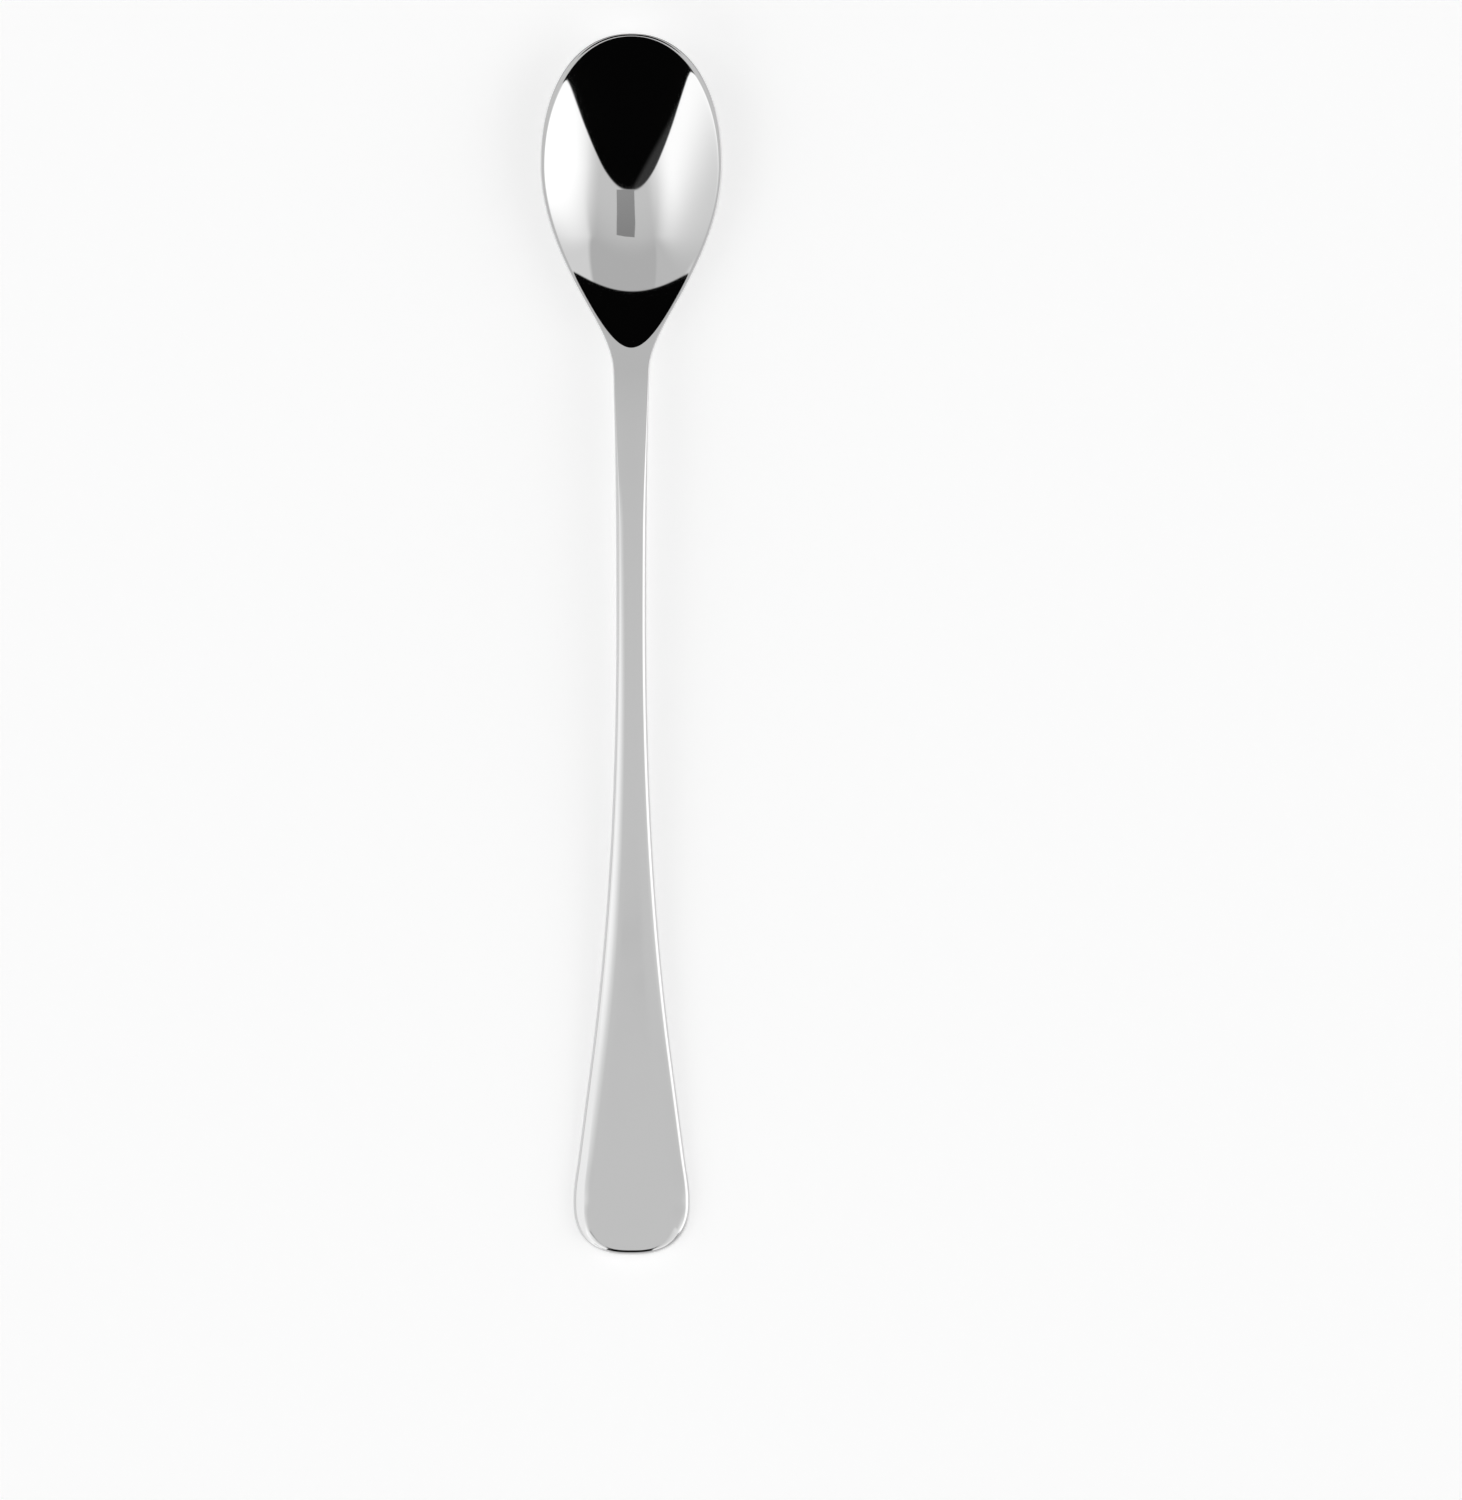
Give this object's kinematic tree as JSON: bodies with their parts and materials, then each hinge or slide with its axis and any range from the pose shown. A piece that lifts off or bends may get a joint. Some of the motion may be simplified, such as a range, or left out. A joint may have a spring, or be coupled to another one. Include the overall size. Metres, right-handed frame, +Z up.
{
  "type": "cocktail spoon",
  "caption": "Long-handled cocktail spoon in mirror-polished stainless steel with an egg-shaped bowl, slim stem and flared paddle end, for stirring tall drinks and lifting fruit.",
  "frame": {"origin": "on the table, under the middle of the overall box of the spoon lying on its back", "axes": "+Y along the spoon towards the bowl's tip, +Z up out of the bowl, +X to the right seen with the bowl away from the viewer"},
  "size_m": [0.0296, 0.2, 0.0072],
  "materials": {
    "bowl_steel": "stainless steel, pressed and mirror polished",
    "handle_steel": "stainless steel, forged and mirror polished",
    "silver_braze": "silver brazing alloy as it set in the joint, out of sight"
  },
  "bodies": {
    "root": {"bowl": "bowl_steel", "handle": "handle_steel", "neck_braze": "silver_braze"}
  },
  "joints": []
}
